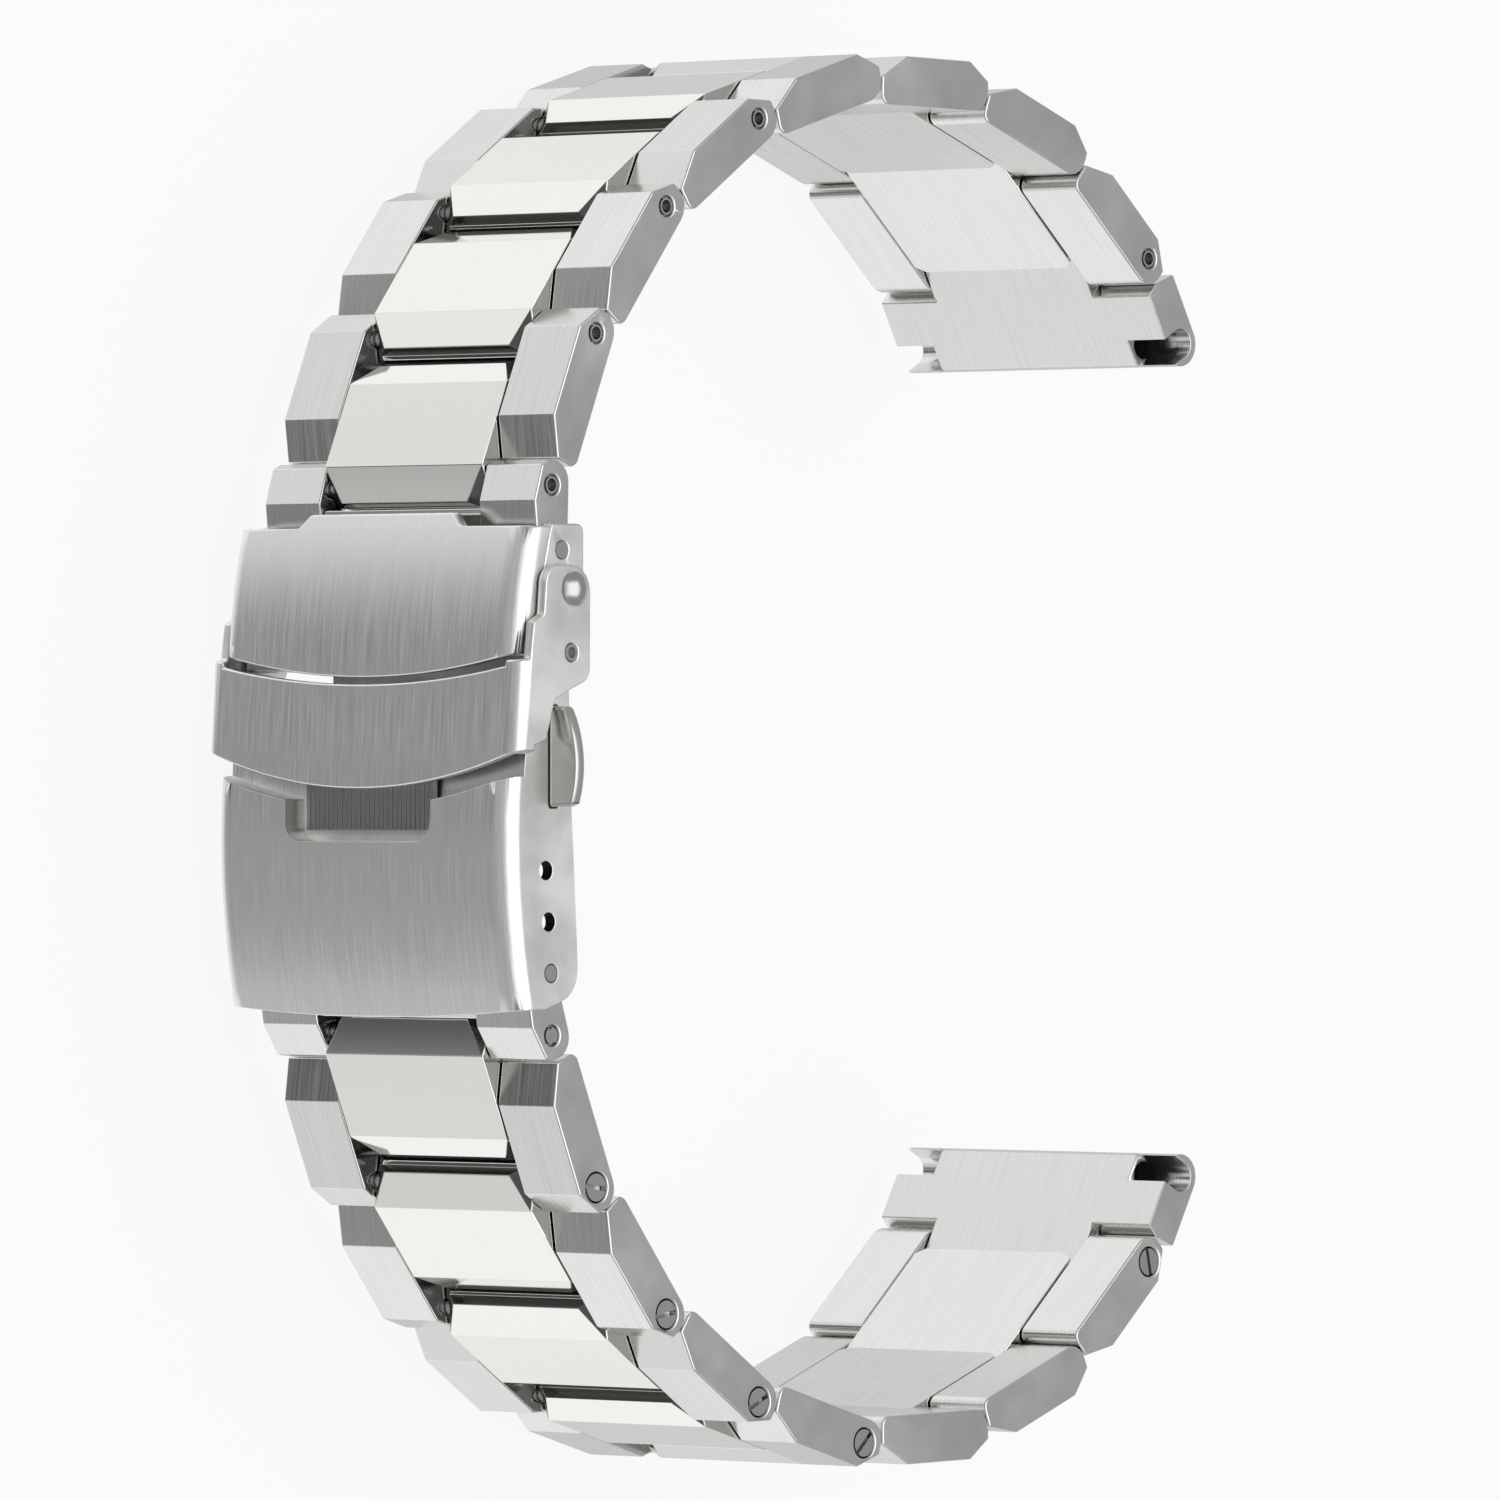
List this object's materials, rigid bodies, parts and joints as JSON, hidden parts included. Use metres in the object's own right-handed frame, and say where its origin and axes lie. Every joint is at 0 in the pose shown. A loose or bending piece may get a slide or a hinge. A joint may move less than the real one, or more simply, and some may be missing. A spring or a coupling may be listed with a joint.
{
  "type": "metal watch bracelet",
  "caption": "Watch bracelet of hinged steel links with polished centres, joined under the wrist by a folding clasp with a flip-lock, push buttons and an adjustable end.",
  "frame": {"origin": "under the middle of the bracelet's outline, on the surface that it lies on", "axes": "+Z across the bracelet's width, +Y from the clasp towards the watch, +X from the upper strand to the lower strand"},
  "size_m": [0.0844, 0.0626, 0.028],
  "materials": {
    "satin_steel": "fine lines brushed along the strand",
    "polished_steel": "mirror polished",
    "pin_steel": "turned and lightly polished",
    "spring_steel": "drawn wire",
    "tab_steel": "ribbed and satin"
  },
  "bodies": {
    "cover": {"clasp_cover": "satin_steel", "spring_bar": "pin_steel", "left_button_spring": "spring_steel", "right_button_spring": "spring_steel"},
    "middle_blade": {"middle_blade": "satin_steel", "fold_hinge_pins": "pin_steel"},
    "head": {"skin_blade": "satin_steel", "head_shell": "satin_steel", "head_link_pin": "pin_steel", "lock_rivets": "pin_steel"},
    "lock": {"flip_lock": "satin_steel", "detent_pins": "pin_steel", "grip_tab": "tab_steel"},
    "left_button": {"left_button": "polished_steel"},
    "right_button": {"right_button": "polished_steel"},
    "lower_short_link": {"lower_short_link_sides": "satin_steel", "lower_short_link_centre": "polished_steel", "lower_short_link_pin": "pin_steel"},
    "lower_link_1": {"lower_link_1_sides": "satin_steel", "lower_link_1_centre": "polished_steel", "lower_link_1_screw": "pin_steel"},
    "lower_link_2": {"lower_link_2_sides": "satin_steel", "lower_link_2_centre": "polished_steel", "lower_link_2_screw": "pin_steel"},
    "lower_link_3": {"lower_link_3_sides": "satin_steel", "lower_link_3_centre": "polished_steel", "lower_link_3_screw": "pin_steel"},
    "lower_link_4": {"lower_link_4_sides": "satin_steel", "lower_link_4_centre": "polished_steel", "lower_link_4_screw": "pin_steel"},
    "lower_link_5": {"lower_link_5_sides": "satin_steel", "lower_link_5_centre": "polished_steel"},
    "lower_link_6": {"lower_link_6_sides": "satin_steel", "lower_link_6_centre": "polished_steel"},
    "lower_link_7": {"lower_link_7_sides": "satin_steel", "lower_link_7_centre": "polished_steel", "lower_link_7_screw": "pin_steel"},
    "lower_end_link": {"lower_end_link": "satin_steel"},
    "upper_short_link": {"upper_short_link_sides": "satin_steel", "upper_short_link_centre": "polished_steel", "upper_short_link_pin": "pin_steel"},
    "upper_link_1": {"upper_link_1_sides": "satin_steel", "upper_link_1_centre": "polished_steel", "upper_link_1_push_pin": "pin_steel"},
    "upper_link_2": {"upper_link_2_sides": "satin_steel", "upper_link_2_centre": "polished_steel", "upper_link_2_push_pin": "pin_steel"},
    "upper_link_3": {"upper_link_3_sides": "satin_steel", "upper_link_3_centre": "polished_steel", "upper_link_3_push_pin": "pin_steel"},
    "upper_link_4": {"upper_link_4_sides": "satin_steel", "upper_link_4_centre": "polished_steel"},
    "upper_link_5": {"upper_link_5_sides": "satin_steel", "upper_link_5_centre": "polished_steel"},
    "upper_link_6": {"upper_link_6_sides": "satin_steel", "upper_link_6_centre": "polished_steel"},
    "upper_link_7": {"upper_link_7_sides": "satin_steel", "upper_link_7_centre": "polished_steel", "upper_link_7_push_pin": "pin_steel"},
    "upper_end_link": {"upper_end_link": "satin_steel"}
  },
  "joints": [
    {"name": "lock_flip", "type": "hinge", "parent": "head", "child": "lock", "pos_m": [-0.00998, -0.02609, 0.014], "axis": [0, 0, -1], "range_deg": [0, 100]},
    {"name": "cover_fold", "type": "hinge", "parent": "cover", "child": "middle_blade", "pos_m": [-0.0036, -0.02707, 0.014], "axis": [0, 0, 1], "range_deg": [0, 30]},
    {"name": "blade_fold", "type": "hinge", "parent": "middle_blade", "child": "head", "pos_m": [0.0098, -0.02507, 0.014], "axis": [0, 0, -1], "range_deg": [0, 60]},
    {"name": "left_press", "type": "slide", "parent": "cover", "child": "left_button", "axis": [0, 0, -1], "range_m": [0, 0.0008], "stiffness_N_per_m": 1500, "springref_m": -0.0004, "deforming": ["left_button_spring"]},
    {"name": "right_press", "type": "slide", "parent": "cover", "child": "right_button", "axis": [0, 0, 1], "range_m": [0, 0.0008], "stiffness_N_per_m": 1500, "springref_m": -0.0004, "deforming": ["right_button_spring"]},
    {"name": "lower_short_link_hinge", "type": "hinge", "parent": "cover", "child": "lower_short_link", "pos_m": [0.0124, -0.02726, 0.014], "axis": [0, 0, 1], "range_deg": [-8, 12]},
    {"name": "lower_link_1_hinge", "type": "hinge", "parent": "lower_short_link", "child": "lower_link_1", "pos_m": [0.01605, -0.02622, 0.014], "axis": [0, 0, 1], "range_deg": [-28, 12]},
    {"name": "lower_link_2_hinge", "type": "hinge", "parent": "lower_link_1", "child": "lower_link_2", "pos_m": [0.02498, -0.02243, 0.014], "axis": [0, 0, 1], "range_deg": [-28, 12]},
    {"name": "lower_link_3_hinge", "type": "hinge", "parent": "lower_link_2", "child": "lower_link_3", "pos_m": [0.03257, -0.01639, 0.014], "axis": [0, 0, 1], "range_deg": [-28, 12]},
    {"name": "lower_link_4_hinge", "type": "hinge", "parent": "lower_link_3", "child": "lower_link_4", "pos_m": [0.03799, -0.00835, 0.014], "axis": [0, 0, 1], "range_deg": [-28, 12]},
    {"name": "lower_link_5_hinge", "type": "hinge", "parent": "lower_link_4", "child": "lower_link_5", "pos_m": [0.04075, 0.00096, 0.014], "axis": [0, 0, 1], "range_deg": [-28, 12]},
    {"name": "lower_link_6_hinge", "type": "hinge", "parent": "lower_link_5", "child": "lower_link_6", "pos_m": [0.04058, 0.01065, 0.014], "axis": [0, 0, 1], "range_deg": [-28, 12]},
    {"name": "lower_link_7_hinge", "type": "hinge", "parent": "lower_link_6", "child": "lower_link_7", "pos_m": [0.0371, 0.01971, 0.014], "axis": [0, 0, 1], "range_deg": [-28, 12]},
    {"name": "lower_end_link_hinge", "type": "hinge", "parent": "lower_link_7", "child": "lower_end_link", "pos_m": [0.03061, 0.02692, 0.014], "axis": [0, 0, 1], "range_deg": [-28, 12]},
    {"name": "upper_short_link_hinge", "type": "hinge", "parent": "head", "child": "upper_short_link", "pos_m": [-0.01225, -0.02622, 0.014], "axis": [0, 0, 1], "range_deg": [-12, 8]},
    {"name": "upper_link_1_hinge", "type": "hinge", "parent": "upper_short_link", "child": "upper_link_1", "pos_m": [-0.01605, -0.02622, 0.014], "axis": [0, 0, 1], "range_deg": [-12, 28]},
    {"name": "upper_link_2_hinge", "type": "hinge", "parent": "upper_link_1", "child": "upper_link_2", "pos_m": [-0.02498, -0.02243, 0.014], "axis": [0, 0, 1], "range_deg": [-12, 28]},
    {"name": "upper_link_3_hinge", "type": "hinge", "parent": "upper_link_2", "child": "upper_link_3", "pos_m": [-0.03257, -0.01639, 0.014], "axis": [0, 0, 1], "range_deg": [-12, 28]},
    {"name": "upper_link_4_hinge", "type": "hinge", "parent": "upper_link_3", "child": "upper_link_4", "pos_m": [-0.03799, -0.00835, 0.014], "axis": [0, 0, 1], "range_deg": [-12, 28]},
    {"name": "upper_link_5_hinge", "type": "hinge", "parent": "upper_link_4", "child": "upper_link_5", "pos_m": [-0.04075, 0.00096, 0.014], "axis": [0, 0, 1], "range_deg": [-12, 28]},
    {"name": "upper_link_6_hinge", "type": "hinge", "parent": "upper_link_5", "child": "upper_link_6", "pos_m": [-0.04058, 0.01065, 0.014], "axis": [0, 0, 1], "range_deg": [-12, 28]},
    {"name": "upper_link_7_hinge", "type": "hinge", "parent": "upper_link_6", "child": "upper_link_7", "pos_m": [-0.0371, 0.01971, 0.014], "axis": [0, 0, 1], "range_deg": [-12, 28]},
    {"name": "upper_end_link_hinge", "type": "hinge", "parent": "upper_link_7", "child": "upper_end_link", "pos_m": [-0.03061, 0.02692, 0.014], "axis": [0, 0, 1], "range_deg": [-12, 28]}
  ],
  "couplings": [
    {"joint": "cover_fold", "follows": "lock_flip", "ratio": 0.3},
    {"joint": "blade_fold", "follows": "lock_flip", "ratio": 0.6}
  ]
}
